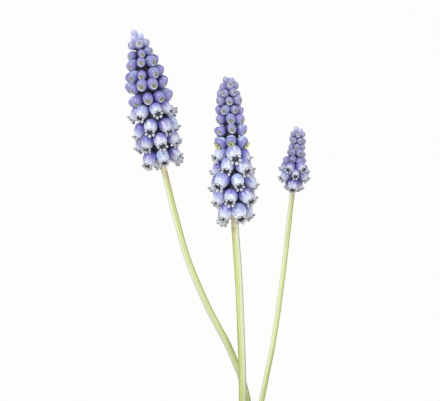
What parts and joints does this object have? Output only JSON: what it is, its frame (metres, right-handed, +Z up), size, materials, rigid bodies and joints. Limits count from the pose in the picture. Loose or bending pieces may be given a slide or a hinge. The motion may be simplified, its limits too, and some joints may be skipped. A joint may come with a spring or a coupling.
{
  "type": "grape hyacinth in a pot",
  "caption": "Flowering bulb plant with upright beaded flower heads on slim stalks, rising over low arching leaves from soil in a plain round clay pot.",
  "frame": {"origin": "centre of the pot's underside, on the surface the pot stands on", "axes": "+Z up along the pot's axis; -Y is the front, seen from which the flower heads stand side by side along X, the tallest one at -X"},
  "size_m": [0.1517, 0.1512, 0.2068],
  "materials": {
    "clay": "matte",
    "soil": "matte",
    "tunic": "matte",
    "leaf": "satin",
    "stalk": "satin",
    "floret": "satin"
  },
  "bodies": {
    "root": {"pot": "clay", "soil": "soil", "bulb": "tunic", "leaf_1": "leaf", "leaf_2": "leaf", "leaf_3": "leaf", "leaf_4": "leaf", "leaf_5": "leaf", "leaf_6": "leaf", "leaf_7": "leaf", "leaf_8": "leaf", "stalk_left": "stalk", "stalk_middle": "stalk", "stalk_right": "stalk", "head_left": "floret", "head_middle": "floret", "head_right": "floret"}
  },
  "joints": []
}
